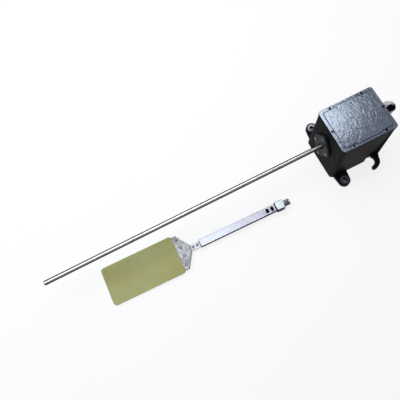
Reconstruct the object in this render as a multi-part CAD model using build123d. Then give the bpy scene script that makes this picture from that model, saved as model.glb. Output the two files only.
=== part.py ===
from build123d import *

import os
from math import asin, cos, degrees, radians, sin, tan

# Rotary paddle level switch, in millimetres. The origin lies on the mounting plane under the middle of the
# cast housing. +Z points up through the lid and +X runs out of the front face along the paddle shaft.

# Housing casting and its ears
box_length = 144.0
box_width = 118.0
box_height = 158.0
wall = 6.0
floor = 8.0
flare = 0.8
corner_radius = 8.0
base_edge_radius = 2.5
ear_x = 48.0
ear_y = box_width / 2 + 25.0
ear_radius = 15.0
ear_thickness = 12.0
ear_bore = 11.0
ear_root_width = 38.0
ear_pad_radius = 12.5
ear_pad_height = 1.2
hook_x = -38.0
hook_y = box_width / 2 + 10.0
hook_inner_radius = 13.5
hook_outer_radius = 25.0
hook_tip_angle = 96.0
hook_back_angle = 175.0
hook_pocket_height = 16.0
hook_pocket_wall = 3.5
hook_web_back = 70.0

# Lid, gasket and lid screws
lid_overhang = 1.0
lid_thickness = 8.0
gasket_thickness = 2.0
panel_margin_x = 9.0
panel_margin_y = 9.6
panel_step = 3.2
panel_step_length = 66.0
panel_height = 1.0
groove_width = 1.6
groove_depth = 1.0
register_depth = 4.0
register_width = 4.0
lid_screw_x = 43.0
lid_screw_inset = 5.2
lid_end_screw_inset = 4.4
lid_screw_diameter = 4.0
lid_screw_head = 6.0
lid_screw_head_height = 3.4
lid_screw_length = 12.0
lid_boss_radius = 6.0
lid_boss_height = 14.0

# Paddle shaft, bearings and the cartridge that holds them in the front wall
shaft_y = -box_width * 0.0466
shaft_z = box_height - 74.0
shaft_diameter = 12.0
shaft_reach = 764.0
shaft_end_chamfer = 1.0
shaft_mark = 35.0
shaft_mark_width = 1.0
shaft_mark_depth = 0.4
front_pad_height = 1.5
flange_gasket_thickness = 0.8
flange_thickness = 4.0
flange_radius = 31.5
flange_lobe_radius = 9.0
flange_screw_side = 24.0
flange_screw_height = 38.0
flange_screw_diameter = 5.0
flange_screw_head = 8.2
flange_screw_head_height = 2.6
flange_screw_length = 12.0
cartridge_radius = 20.0
bearing_outer = 28.0
bearing_width = 8.0
bearing_ring = 2.6
bearing_shield_inset = 0.6
bearing_gap = 8.0
spacer_wall = 2.4
shoulder_width = 2.0
shoulder_bore = 19.0
seal_outer = 22.0
seal_width = 5.0
seal_lip_gap = 0.05
circlip_thickness = 0.9
circlip_width = 2.2
cap_thickness = 4.0
nose_radius = 12.0
nose_lip = 0.8
cap_screw_circle = 17.0
cap_screw_diameter = 3.0
cap_screw_length = 12.0

# Geared motor hung on the swivel plate, and its coupling
plate_thickness = 4.0
plate_size = box_width * 0.4237
plate_corner = 8.0
bush_wall = 3.0
bush_lip = 0.8
arm_reach = plate_size / 2 + 20.0
arm_height = 16.0
pillar_offset = plate_size * 0.38
pillar_diameter = 7.0
pillar_length = 22.5
pillar_screw_head = 6.0
pillar_screw_head_height = 2.2
gearbox_length = 26.0
motor_diameter = plate_size
motor_length = 34.0
motor_rim = 1.5
output_diameter = 8.0
coupling_diameter = 22.0
coupling_length = 17.0
coupling_overlap = 8.5
set_screw_diameter = 5.0
actuator_radius = plate_size / 2 + 5.0
actuator_diameter = 6.0
swing_limit = 8.0

# Mounting plate, switches, stop and spring inside the housing
tray_boss_height = 3.0
tray_boss_radius = 6.0
tray_thickness = 2.5
tray_margin = 5.0
tray_screw_x = 57.0
tray_screw_y = box_width * 0.36
tray_screw_diameter = 4.0
switch_length = box_width * 0.229
switch_height = 16.0
switch_width = 10.3
switch_gap = 1.0
lever_thickness = 0.8
lever_half_length = box_width * 0.127
lever_width = 5.0
lever_barrel = 2.4
lever_reach = box_width * 0.1017
plunger_reach = 4.0
lever_rise = 6.6
bracket_thickness = 2.0
bracket_width = switch_length - 2.0
bracket_foot = 20.0
switch_screw_diameter = 3.0
stop_diameter = 6.0
stop_arm_position = arm_reach - 14.0
stop_nut = 8.0
spring_arm_position = arm_reach - 5.0
spring_outer = 8.0
spring_wire = 1.2
spring_pitch = 2.6
spring_hook_radius = 3.0
spring_pin_diameter = 3.0
spring_pin_length = 9.0
anchor_height = 26.0
anchor_thickness = 3.0
anchor_width = 9.0

# Terminal block on its stand, and the earth stud
terminal_ways = 5
terminal_pitch = 7.0
terminal_depth = 19.0
terminal_height = 18.0
terminal_wall = 1.6
terminal_screw_diameter = 3.0
stand_height = 44.0
stand_thickness = 2.0
stand_foot = 8.0
stand_x = -31.0
stand_y = shaft_y + motor_diameter / 2 + 2.0 + terminal_depth / 2
earth_x = -36.0
earth_y = -box_width * 0.322
earth_diameter = 6.0

# Cable gland in the rear wall
gland_y = -3.0
gland_z = box_height - 26.0
gland_boss_radius = 19.0
gland_boss_height = 3.0
gland_thread = 25.0
gland_washer_thickness = 1.5
gland_hex = 30.0
gland_hex_length = 8.0
gland_collar_length = 11.0
gland_nut_hex = 29.0
gland_nut_length = 15.0
gland_dome_length = 10.0
gland_bore = 17.0
seal_bore = 12.0

# Loose paddle: sheet, clamp plates, arm tube, socket and lock nut
paddle_x = 244.0
paddle_y = 67.5
paddle_yaw = -1.4
arm_tube_length = 215.0
arm_tube_width = 20.0
arm_tube_height = 12.0
arm_tube_wall = 1.5
arm_slot_width = 8.0
arm_slot_length = 12.5
arm_slot_first = 8.5
arm_slot_pitch = 13.5
neck_length = 26.0
neck_width = 16.6
neck_tongue = 22.0
fan_taper_length = 24.0
fan_edge_length = 11.0
fan_width = 92.0
fan_thickness = 2.5
sheet_length = 199.0
sheet_width = 102.0
sheet_thickness = 6.0
sheet_corner = 8.0
rivet_diameter = 5.0
rivet_head = 8.0
rivet_head_height = 1.2
rivet_rows = (-34.0, -12.0, 12.0, 34.0)
neck_rivet_first = 7.0
neck_rivet_pitch = 12.0
nut_size = 24.0
nut_length = 21.0
nut_gap = 2.0
socket_diameter = 16.0
socket_length = 18.0
socket_tongue = 30.0
socket_slit = 2.0

# Clearances
running = 0.05
press = 0.02
loose = 0.3
seat = 0.02

# Places worked out from the sizes above
lid_length = box_length + 2 * lid_overhang
lid_width = box_width + 2 * lid_overhang
lid_bottom = box_height + gasket_thickness
lid_top = lid_bottom + lid_thickness - panel_height
slope = tan(radians(flare))
front_x = box_length / 2
shaft_radius = shaft_diameter / 2
bearing_radius = bearing_outer / 2
pad_x = front_x + (box_height - shaft_z) * slope + front_pad_height
flange_back = pad_x + flange_gasket_thickness
flange_front = flange_back + flange_thickness
seal_back = flange_front - seal_width - 0.5
bearing_front = seal_back - shoulder_width
bearing_middle = bearing_front - bearing_width
bearing_second = bearing_middle - bearing_gap
bearing_back = bearing_second - bearing_width
nose_start = bearing_back - cap_thickness
bush_front = nose_start - loose
plate_front = bush_front - bush_lip
plate_back = plate_front - plate_thickness
bush_back = plate_back - bush_lip
swivel_clip_front = bush_back - 0.2
nose_end = swivel_clip_front - circlip_thickness - nose_lip
gearbox_front = plate_back - pillar_length
gearbox_back = gearbox_front - gearbox_length
motor_back = gearbox_back - motor_length
coupling_front = nose_end - 1.5
coupling_back = coupling_front - coupling_length
shaft_inner_end = coupling_front - coupling_overlap
shaft_outer_end = lid_length / 2 + shaft_reach
tray_bottom = floor + tray_boss_height
tray_top = tray_bottom + tray_thickness
actuator_y = shaft_y + actuator_radius
actuator_back = gearbox_front - 1.0
hinge_y = actuator_y + lever_reach
hinge_z = shaft_z + actuator_diameter / 2 + loose + lever_thickness / 2
switch_bottom = hinge_z + lever_rise
switch_start_y = hinge_y - switch_length / 2
switch_end_y = hinge_y + switch_length / 2
bracket_front = actuator_back - 0.5
first_switch_x = bracket_front
second_switch_x = first_switch_x + switch_width + switch_gap
fan_start = arm_tube_length + neck_length
fan_edge = fan_start + fan_taper_length
fan_end = fan_edge + fan_edge_length
sheet_end = fan_end + sheet_length
nut_end = -nut_gap
nut_start = nut_end - nut_length
socket_start = nut_start - socket_length
paddle_tilt = degrees(asin((nut_size - sheet_thickness) / 2 / (sheet_end - nut_start)))


def rounded_block(length, width, radius, bottom, height):
    """A block with round vertical corners, centred on the Z axis."""
    return Pos(0, 0, bottom) * extrude(RectangleRounded(length, width, radius), amount=height)


def tapered_block(length, width, radius, top, depth):
    """A block that widens downwards from its top outline."""
    top_plane = Plane(origin=(0, 0, top), x_dir=(1, 0, 0), z_dir=(0, 0, -1))
    return extrude(top_plane * RectangleRounded(length, width, radius), amount=depth, taper=-flare)


def post(radius, x, y, bottom, top):
    """A round post along Z."""
    return Pos(x, y, (bottom + top) / 2) * Cylinder(radius, top - bottom)


def bar(radius, x_start, x_end, y=shaft_y, z=shaft_z):
    """A round bar along X, on the shaft's axis unless told otherwise."""
    return Pos((x_start + x_end) / 2, y, z) * Rot(0, 90, 0) * Cylinder(radius, abs(x_end - x_start))


def ring(outer, inner, x_start, x_end, y=shaft_y, z=shaft_z):
    """A round ring along X."""
    return bar(outer, x_start, x_end, y, z) - bar(inner, x_start - 1, x_end + 1, y, z)


def hexagon_bar(across_flats, x_start, x_end, y, z):
    """A hexagonal bar along X with a flat on top, its corners turned off at both ends."""
    profile = RegularPolygon(across_flats / 2, 6, major_radius=False)
    prism = extrude(Plane.YZ.offset(x_start) * Pos(y, z) * Rot(0, 0, 30) * profile, amount=x_end - x_start)
    corner = across_flats / 3 ** 0.5 - running
    cone_length = corner - across_flats / 2
    turned = chamfer(bar(corner, x_start, x_end, y, z).edges(), cone_length * 0.9, cone_length * 0.9)
    return prism & turned


def both_sides(shape):
    """The shape and its mirror image across the XZ plane."""
    return shape + mirror(shape, about=Plane.XZ)


def lid_screw_places():
    """Four screws on the long edges and one in the middle of each short edge."""
    side = lid_width / 2 - lid_screw_inset
    end = lid_length / 2 - lid_end_screw_inset
    return [(x, y) for x in (-lid_screw_x, lid_screw_x) for y in (-side, side)] + [(-end, 0), (end, 0)]


def tray_screw_places():
    return [(x, y) for x in (-tray_screw_x, tray_screw_x) for y in (-tray_screw_y, tray_screw_y)]


def circle_places(radius, count, start=0.0):
    """Places round the shaft's axis, as Y and Z."""
    turns = [radians(start + 360 * i / count) for i in range(count)]
    return [(shaft_y + radius * cos(a), shaft_z + radius * sin(a)) for a in turns]


def corner(sketch, x, y):
    return sketch.vertices().sort_by_distance((x, y, 0))[0]


def group(solids):
    """Separate solids of one kind, kept together as one sub-part."""
    return Compound(children=[s if isinstance(s, Solid) else s.solids()[0] for s in solids])


def save(name, shape, colour):
    shape.label = name
    shape.color = Color(*colour)
    export_step(shape, f"parts/{name}.step")


# Colours by finish
black_paint = (0.05, 0.05, 0.06)
steel = (0.72, 0.73, 0.75)
nickel = (0.80, 0.80, 0.78)
bronze = (0.65, 0.48, 0.25)
rubber = (0.08, 0.08, 0.08)
grey_plastic = (0.55, 0.56, 0.58)
black_plastic = (0.12, 0.12, 0.13)
zinc = (0.70, 0.70, 0.66)
polyurethane = (0.66, 0.66, 0.42)


def ear_outline():
    """A closed round ear on a web that widens towards the casting."""
    root_y = box_width / 2 - wall
    eye = Pos(ear_x, ear_y) * Circle(ear_radius)
    root = Pos(ear_x, root_y) * Rectangle(ear_root_width, 1.0)
    return make_hull((eye + root).edges())


def hook_spot(radius, angle):
    """A place on a circle round the middle of the hook, at an angle in degrees."""
    return hook_x + radius * cos(radians(angle)), hook_y + radius * sin(radians(angle))


def hook_outline():
    """An open ear: a ring that grows out of the casting behind its mouth, which opens forwards."""
    inner = hook_inner_radius
    outer = hook_outer_radius
    root_y = box_width / 2 - wall
    tip = hook_tip_angle
    tip_x, tip_y = hook_spot((inner + outer) / 2, tip)
    tip_radius = (outer - inner) / 2
    nose = (tip_x + tip_radius * sin(radians(tip)), tip_y - tip_radius * cos(radians(tip)))
    back = hook_spot(outer, hook_back_angle)
    edges = Polyline(hook_spot(inner, 270), (hook_x, root_y), (-hook_web_back, root_y), back)
    edges += ThreePointArc(back, hook_spot(outer, (hook_back_angle + tip) / 2), hook_spot(outer, tip))
    edges += ThreePointArc(hook_spot(outer, tip), nose, hook_spot(inner, tip))
    edges += ThreePointArc(hook_spot(inner, tip), hook_spot(inner, 180), hook_spot(inner, 270))
    return make_face(edges)


def flange_outline(grow=0.0):
    """The oval of the front flange in the YZ plane: round at the sides, a lobe above and below."""
    centre = Pos(shaft_y, shaft_z)
    outline = centre * Circle(flange_radius + grow)
    for side in (-1, 1):
        outline += centre * Pos(0, side * flange_screw_height) * Circle(flange_lobe_radius + grow)
    return make_hull(outline.edges())


def flange_plate(x_start, x_end, grow=0.0):
    return extrude(Plane.YZ.offset(x_start) * flange_outline(grow), amount=x_end - x_start)


def flange_screw_places():
    """One screw on each side of the shaft, one above it and one below it, as Y and Z."""
    sides = [(shaft_y + s * flange_screw_side, shaft_z) for s in (-1, 1)]
    return sides + [(shaft_y, shaft_z + s * flange_screw_height) for s in (-1, 1)]


def make_housing():
    body = tapered_block(box_length, box_width, corner_radius, box_height, box_height)
    body += flange_plate(front_x - wall, pad_x, 1.5)
    boss_end = -front_x - gland_boss_height
    body += bar(gland_boss_radius, boss_end, -front_x + wall, gland_y, gland_z)
    cavity_radius = max(corner_radius - wall, 2.0)
    body -= tapered_block(box_length - 2 * wall, box_width - 2 * wall, cavity_radius,
                          box_height, box_height - floor)
    columns = Part()
    for x, y in lid_screw_places():
        column = post(lid_boss_radius, x, y, box_height - lid_boss_height, box_height)
        cone = Cone(0.5, lid_boss_radius, lid_boss_radius * 2)
        columns += column + Pos(x, y, box_height - lid_boss_height - lid_boss_radius) * cone
    body += columns & tapered_block(box_length, box_width, corner_radius, box_height, box_height)
    ears = extrude(ear_outline(), amount=ear_thickness)
    ears += post(ear_pad_radius, ear_x, ear_y, ear_thickness, ear_thickness + ear_pad_height)
    ears += extrude(hook_outline(), amount=ear_thickness)
    ears -= tapered_block(box_length - wall, box_width - wall, corner_radius, box_height, box_height)
    ears -= post(ear_bore / 2, ear_x, ear_y, -1, ear_thickness + ear_pad_height + 1)
    body += both_sides(ears)
    pocket_top = ear_thickness + hook_pocket_height
    bay = post(hook_inner_radius + hook_pocket_wall, hook_x, hook_y, 0, pocket_top + hook_pocket_wall)
    body += both_sides(bay) & tapered_block(box_length, box_width, corner_radius, box_height, box_height)
    body -= both_sides(post(hook_inner_radius, hook_x, hook_y, -1, pocket_top))
    for x, y in tray_screw_places():
        body += post(tray_boss_radius, x, y, floor - 1, tray_bottom)
        body -= post(tray_screw_diameter / 2 + press, x, y, floor - 5, tray_bottom + 1)
    for x, y in lid_screw_places():
        body -= post(lid_screw_diameter / 2 + press, x, y, box_height - lid_screw_length, box_height + 1)
    body -= bar(cartridge_radius + press, pad_x - 3 * wall, pad_x + 1)
    for y, z in flange_screw_places():
        body -= bar(flange_screw_diameter / 2 + press, pad_x - 2 * wall, pad_x + 1, y, z)
    body -= bar(gland_thread / 2 + running, boss_end - 1, -front_x + 3 * wall, gland_y, gland_z)
    return body


def panel_outline(grow=0.0):
    """The raised field of the lid: wider between the screws of the long edges."""
    length = lid_length - 2 * panel_margin_x + 2 * grow
    width = lid_width - 2 * panel_margin_y + 2 * grow
    step = Rectangle(panel_step_length + 2 * grow, width + 2 * panel_step)
    return RectangleRounded(length, width, 2.5 + grow) + step


def make_lid():
    rim_top = lid_top
    lid = rounded_block(lid_length, lid_width, corner_radius, lid_bottom, rim_top - lid_bottom)
    lid = fillet(lid.faces().sort_by(Axis.Z)[-1].edges(), 1.2)
    lid -= Pos(0, 0, rim_top - groove_depth) * extrude(panel_outline(groove_width), amount=groove_depth + 1)
    panel = Pos(0, 0, rim_top - groove_depth) * extrude(panel_outline(), amount=groove_depth + panel_height)
    lid += chamfer(panel.faces().sort_by(Axis.Z)[-1].edges(), 0.4)
    reach_x = box_length / 2 - wall - 2 * lid_boss_radius
    reach_y = box_width / 2 - wall - lid_boss_radius - 1.0
    outer = RectangleRounded(2 * reach_x, 2 * reach_y, 4.0)
    inner = RectangleRounded(2 * (reach_x - register_width), 2 * (reach_y - register_width), 2.0)
    lid += Pos(0, 0, lid_bottom - register_depth) * extrude(outer - inner, amount=register_depth)
    for x, y in lid_screw_places():
        lid -= post(lid_screw_diameter / 2 + loose, x, y, lid_bottom - 1, rim_top + 1)
        lid -= post(lid_screw_head / 2 + loose, x, y, rim_top - lid_screw_head_height, rim_top + 2)
    return lid


def make_gasket():
    outline = RectangleRounded(box_length, box_width, corner_radius)
    opening = RectangleRounded(box_length - 2 * wall, box_width - 2 * wall, max(corner_radius - wall, 2.0))
    rings = Sketch()
    for x, y in lid_screw_places():
        rings += Pos(x, y) * Circle(lid_boss_radius)
    holes = Sketch()
    for x, y in lid_screw_places():
        holes += Pos(x, y) * Circle(lid_screw_diameter / 2 + loose)
    flat = outline - opening + (rings & outline) - holes
    return Pos(0, 0, box_height) * extrude(flat, amount=gasket_thickness)


def cap_screw(diameter, length, head, head_height, socket):
    """A socket screw that points down, with the underside of its head at the origin."""
    body = post(diameter / 2, 0, 0, -length, 0) + post(head / 2, 0, 0, 0, head_height)
    body = chamfer(body.edges().filter_by(GeomType.CIRCLE).sort_by(Axis.Z)[-1], 0.4)
    hexagon = RegularPolygon(socket / 2, 6, major_radius=False)
    return body - Pos(0, 0, head_height * 0.4) * extrude(hexagon, amount=head_height)


def make_lid_screws():
    under_head = lid_top - lid_screw_head_height
    length = under_head - (box_height - lid_screw_length) - 1.0
    one = cap_screw(lid_screw_diameter, length, lid_screw_head, lid_screw_head_height, 3.0)
    return group([Pos(x, y, under_head) * one for x, y in lid_screw_places()])


def make_bearing_housing():
    flange = flange_plate(flange_back, flange_front)
    flange = chamfer(flange.faces().sort_by(Axis.X)[-1].edges(), 0.8)
    body = bar(cartridge_radius, bearing_back, flange_front) + flange
    body -= bar(bearing_radius + press, bearing_back - 1, bearing_front)
    body -= bar(shoulder_bore / 2, bearing_front - 1, seal_back + 1)
    body -= bar(seal_outer / 2 + press, seal_back, flange_front + 1)
    for y, z in flange_screw_places():
        body -= bar(flange_screw_diameter / 2 + loose, flange_back - 1, flange_front + 1, y, z)
    for y, z in circle_places(cap_screw_circle, 3, 90):
        body -= bar(cap_screw_diameter / 2 + press, bearing_back - 1, bearing_back + cap_screw_length, y, z)
    return body


def make_flange_gasket():
    flat = flange_plate(pad_x, flange_back, -0.5) - bar(cartridge_radius + loose, pad_x - 1, flange_back + 1)
    for y, z in flange_screw_places():
        flat -= bar(flange_screw_diameter / 2 + loose, pad_x - 1, flange_back + 1, y, z)
    return flat


def make_flange_screws():
    screws = []
    for y, z in flange_screw_places():
        shank = bar(flange_screw_diameter / 2, flange_front - flange_screw_length, flange_front, y, z)
        head = bar(flange_screw_head / 2, flange_front, flange_front + flange_screw_head_height, y, z)
        head = fillet(head.edges().sort_by(Axis.X)[-1], flange_screw_head_height * 0.45)
        slot = Pos(flange_front + flange_screw_head_height, y, z) * Box(2.0, 1.1, flange_screw_head * 1.2)
        screws.append(shank + head - slot)
    return group(screws)


def make_bearing(x_start):
    """A shielded ball bearing: two rings and the recessed shields between them, as one solid."""
    x_end = x_start + bearing_width
    inner_ring = ring(shaft_radius + press + bearing_ring, shaft_radius + press, x_start, x_end)
    outer_ring = ring(bearing_radius, bearing_radius - bearing_ring, x_start, x_end)
    shields = ring(bearing_radius - bearing_ring / 2, shaft_radius + bearing_ring / 2,
                   x_start + bearing_shield_inset, x_end - bearing_shield_inset)
    return inner_ring + outer_ring + shields


def make_spacer():
    return ring(shaft_radius + press + spacer_wall, shaft_radius + press, bearing_second, bearing_middle)


def make_shaft_seal():
    body = ring(seal_outer / 2, shaft_radius + 2.0, seal_back, seal_back + seal_width)
    lip = ring(shaft_radius + 2.5, shaft_radius + seal_lip_gap, seal_back + seal_width * 0.3,
               seal_back + seal_width * 0.7)
    return body + lip


def make_bearing_cap():
    body = bar(cartridge_radius, nose_start, bearing_back) + bar(nose_radius, nose_end, nose_start + 1)
    body -= bar(shoulder_bore / 2, bearing_back - circlip_thickness - 0.8, bearing_back + 1)
    body -= bar(shaft_radius + loose, nose_end - 1, bearing_back)
    groove_start = swivel_clip_front - circlip_thickness
    body -= ring(nose_radius + 1, nose_radius - 1.0, groove_start, swivel_clip_front)
    for y, z in circle_places(cap_screw_circle, 3, 90):
        body -= bar(cap_screw_diameter / 2 + loose, nose_start - 1, bearing_back + 1, y, z)
        body -= bar(cap_screw_diameter + loose, nose_start - 1, nose_start + 1.8, y, z)
    return body


def make_cap_screws():
    screws = []
    for y, z in circle_places(cap_screw_circle, 3, 90):
        shank = bar(cap_screw_diameter / 2, nose_start, bearing_back + cap_screw_length - cap_thickness, y, z)
        screws.append(shank + bar(cap_screw_diameter, nose_start + 0.2, nose_start + 1.8, y, z))
    return group(screws)


def open_ring(outer, inner, x_start, x_end, gap):
    """A retaining ring with its gap on top."""
    whole = ring(outer, inner, x_start, x_end)
    return whole - Pos((x_start + x_end) / 2, shaft_y, shaft_z + outer) * Box(x_end - x_start + 1, gap, outer)


def make_swivel_circlip():
    start = swivel_clip_front - 0.95 * circlip_thickness
    return open_ring(nose_radius + circlip_width, nose_radius - 0.95, start, start + circlip_thickness * 0.9, 5)


def shaft_grooves():
    front = bearing_front + 0.1
    back = bearing_back - 0.1 - circlip_thickness
    return front, back


def make_paddle_shaft():
    shaft = bar(shaft_radius, shaft_inner_end, shaft_outer_end)
    shaft = chamfer(shaft.edges(), shaft_end_chamfer)
    for x in shaft_grooves():
        shaft -= ring(shaft_radius + 1, shaft_radius - 0.5, x, x + circlip_thickness)
    mark = shaft_outer_end - shaft_mark
    return shaft - ring(shaft_radius + 1, shaft_radius - shaft_mark_depth, mark - shaft_mark_width, mark)


def make_shaft_circlips():
    clips = []
    for x in shaft_grooves():
        start = x + 0.05 * circlip_thickness
        clips.append(open_ring(shaft_radius + circlip_width, shaft_radius - 0.48, start,
                               start + 0.9 * circlip_thickness, 4))
    return group(clips)


def make_coupling():
    hub = bar(coupling_diameter / 2, coupling_back, coupling_front)
    hub = chamfer(hub.edges(), 0.8)
    hub -= bar(shaft_radius + press, shaft_inner_end - 0.5, coupling_front + 1)
    hub -= bar(output_diameter / 2 + press, coupling_back - 1, shaft_inner_end)
    for x in coupling_screw_places():
        hub -= post(set_screw_diameter / 2 + press, x, shaft_y, shaft_z, shaft_z + coupling_diameter)
    return hub


def coupling_screw_places():
    front = coupling_front - coupling_overlap / 2
    back = (coupling_back + shaft_inner_end) / 2
    return front, back


def make_coupling_screws():
    screws = []
    for x, inner in zip(coupling_screw_places(), (shaft_radius, output_diameter / 2)):
        top = shaft_z + coupling_diameter / 2 - 0.5
        bottom = shaft_z + inner + press
        screw = post(set_screw_diameter / 2, x, shaft_y, bottom, top)
        screws.append(screw - Pos(x, shaft_y, top) * Box(1.0, set_screw_diameter * 1.2, 2.0))
    return group(screws)


def make_output_shaft():
    return bar(output_diameter / 2, gearbox_front + seat, shaft_inner_end - 1.0)


def make_swivel_plate():
    """The square plate that carries the geared motor, with its arm towards the switches."""
    square = Pos(shaft_y, shaft_z) * RectangleRounded(plate_size, plate_size, plate_corner)
    arm = Pos(shaft_y + arm_reach / 2, shaft_z) * RectangleRounded(arm_reach + arm_height, arm_height,
                                                                   arm_height / 2 - 0.1)
    outline = square + (arm & Pos(shaft_y + arm_reach / 2, shaft_z) * Rectangle(arm_reach, arm_height))
    outline -= Pos(shaft_y, shaft_z) * Circle(nose_radius + running + bush_wall + press)
    for y, z in pillar_places():
        outline -= Pos(y, z) * Circle(pillar_diameter / 4 + press)
    outline -= Pos(actuator_y, shaft_z) * Circle(actuator_diameter / 4 + press)
    outline -= Pos(shaft_y + spring_arm_position, shaft_z) * Circle(spring_pin_diameter / 2 + press)
    return extrude(Plane.YZ.offset(plate_back) * outline, amount=plate_thickness)


def pillar_places():
    return [(shaft_y + y, shaft_z + z) for y in (-pillar_offset, pillar_offset)
            for z in (-pillar_offset, pillar_offset)]


def make_swivel_bush():
    return ring(nose_radius + running + bush_wall, nose_radius + running, bush_back, bush_front)


def make_pillars():
    pillars = []
    for y, z in pillar_places():
        body = bar(pillar_diameter / 2, gearbox_front, plate_back, y, z)
        stud = bar(pillar_diameter / 4, plate_back - 1, plate_front + 0.5, y, z)
        pillars.append(body + stud)
    return group(pillars)


def make_pillar_nuts():
    nuts = []
    for y, z in pillar_places():
        nut = hexagon_bar(pillar_screw_head, plate_front, plate_front + pillar_screw_head_height, y, z)
        nuts.append(nut - bar(pillar_diameter / 4 + press, plate_front - 1, plate_front + 9, y, z))
    return group(nuts)


def make_gearbox():
    outline = Pos(shaft_y, shaft_z) * RectangleRounded(plate_size, plate_size, plate_corner)
    body = extrude(Plane.YZ.offset(gearbox_back) * outline, amount=gearbox_length)
    seam = gearbox_back + gearbox_length / 2
    groove = extrude(Plane.YZ.offset(seam - 0.5) * (outline - offset(outline, -0.8)), amount=1.0)
    return body - groove


def make_motor():
    can = bar(motor_diameter / 2, motor_back, gearbox_back)
    can = fillet(can.edges().sort_by(Axis.X)[0], 3.0)
    rim = bar(motor_diameter / 2 + motor_rim - 0.5, gearbox_back - 2.0, gearbox_back)
    boss = bar(6.0, motor_back - 2.0, motor_back + 1)
    return can + rim + boss


def make_actuator_pin():
    shank = bar(actuator_diameter / 4, plate_back - 1, plate_front, actuator_y, shaft_z)
    return shank + bar(actuator_diameter / 2, actuator_back, plate_back, actuator_y, shaft_z)


def make_spring_pin():
    y = shaft_y + spring_arm_position
    end = plate_front + spring_pin_length
    pin = bar(spring_pin_diameter / 2, plate_back, end, y, shaft_z)
    return pin + bar(spring_pin_diameter / 2 + 1.0, end - 1.2, end, y, shaft_z)


def spring_place():
    """The spring's axis, and the heights of its upper and lower pins."""
    x = plate_front + spring_pin_length / 2
    return x, shaft_y + spring_arm_position, shaft_z, tray_top + anchor_height


def make_return_spring():
    """A tension spring with a round hook at each end."""
    x, y, top, bottom = spring_place()
    hook = spring_hook_radius
    coil_radius = (spring_outer - spring_wire) / 2
    coil_top = top - hook - spring_wire * 2
    coil_bottom = bottom + hook + spring_wire * 2
    turns = max(int((coil_top - coil_bottom) / spring_pitch), 2)
    height = coil_top - coil_bottom
    path = Helix(pitch=height / turns, height=height, radius=coil_radius)
    profile = Plane(origin=path @ 0, z_dir=path % 0) * Circle(spring_wire / 2)
    solids = [Pos(x, y, coil_bottom) * sweep(profile, path=path)]
    for pin_z, side, coil_z in ((top, 1, coil_top), (bottom, -1, coil_bottom)):
        ring_z = pin_z - side * (hook - spring_pin_diameter / 2 - spring_wire / 2 - running)
        eye = Pos(x, y, ring_z) * Rot(0, 90, 0) * Torus(hook, spring_wire / 2)
        stem = Line((x + coil_radius, y, coil_z + side * spring_wire * 0.55), (x, y, ring_z - side * hook))
        solids.append(eye + sweep(Plane(origin=stem @ 0, z_dir=stem % 0) * Circle(spring_wire / 2), path=stem))
    return group(solids)


def make_spring_anchor():
    """An angle on the mounting plate with the pin for the spring's lower hook."""
    x, y, top, bottom = spring_place()
    half = spring_pin_length / 2
    plate_x = x - half - anchor_thickness / 2
    height = bottom + 4 - tray_top
    upright = Pos(plate_x, y, tray_top + height / 2) * Box(anchor_thickness, anchor_width, height)
    foot = Pos(plate_x - 6, y, tray_top + anchor_thickness / 2)
    foot = foot * Box(12 + anchor_thickness, anchor_width, anchor_thickness)
    pin = bar(spring_pin_diameter / 2, plate_x, x + half, y, bottom)
    return upright + foot + pin + bar(spring_pin_diameter / 2 + 1.0, x + half - 1.2, x + half, y, bottom)


def make_stop_post():
    """The rest stop under the swivel plate's arm, screwed into the mounting plate."""
    x = (plate_front + plate_back) / 2
    y = shaft_y + stop_arm_position
    top = shaft_z - arm_height / 2 - seat
    rod = post(stop_diameter / 2, x, y, tray_top, top)
    nut = Pos(x, y, tray_top) * extrude(RegularPolygon(stop_nut / 2, 6, major_radius=False), amount=4)
    return chamfer(rod.edges().sort_by(Axis.Z)[-1], 0.6) + nut


def make_mounting_plate():
    """The tray that carries the switches, the stop, the spring's anchor and the terminals."""
    half_gap = wall - box_height * slope + tray_margin
    length = box_length - 2 * half_gap
    width = box_width - 2 * half_gap
    plate = rounded_block(length, width, 6.0, tray_bottom, tray_thickness)
    for x, y in tray_screw_places():
        plate -= post(tray_screw_diameter / 2 + loose, x, y, tray_bottom - 1, tray_top + 1)
    return plate


def make_tray_screws():
    one = cap_screw(tray_screw_diameter, 4 + tray_boss_height + tray_thickness, 7.0, 4.0, 3.0)
    return group([Pos(x, y, tray_top) * one for x, y in tray_screw_places()])


def make_switch_bracket():
    """A bent angle: a foot on the mounting plate and an upright behind the switches."""
    centre_y = hinge_y
    top = switch_bottom + switch_height
    back = bracket_front - bracket_thickness
    upright = Pos((bracket_front + back) / 2, centre_y, (tray_top + top) / 2)
    upright = upright * Box(bracket_thickness, bracket_width, top - tray_top)
    foot = Pos(bracket_front - bracket_foot / 2, centre_y, tray_top + bracket_thickness / 2)
    foot = foot * Box(bracket_foot, bracket_width, bracket_thickness)
    bracket = upright + foot
    bend = bracket.edges().filter_by(Axis.Y).sort_by_distance((bracket_front, centre_y, tray_top))[0]
    bracket = fillet(bend, bracket_thickness * 0.9)
    for y, z in switch_screw_places():
        bracket -= bar(switch_screw_diameter / 2 + press, back - 1, bracket_front + 1, y, z)
    for x, y in bracket_screw_places():
        bracket -= post(2.0 + loose, x, y, tray_top - 1, tray_top + bracket_thickness + 1)
    return bracket


def bracket_screw_places():
    x = bracket_front - bracket_foot + 8
    return [(x, hinge_y - 7), (x, hinge_y + 7)]


def make_bracket_screws():
    one = cap_screw(4.0, bracket_thickness, 7.0, 3.0, 3.0)
    return group([Pos(x, y, tray_top + bracket_thickness) * one for x, y in bracket_screw_places()])


def switch_screw_places():
    z = switch_bottom + switch_height * 0.62
    return [(switch_start_y + 5.5, z), (switch_end_y - 5.5, z)]


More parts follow.
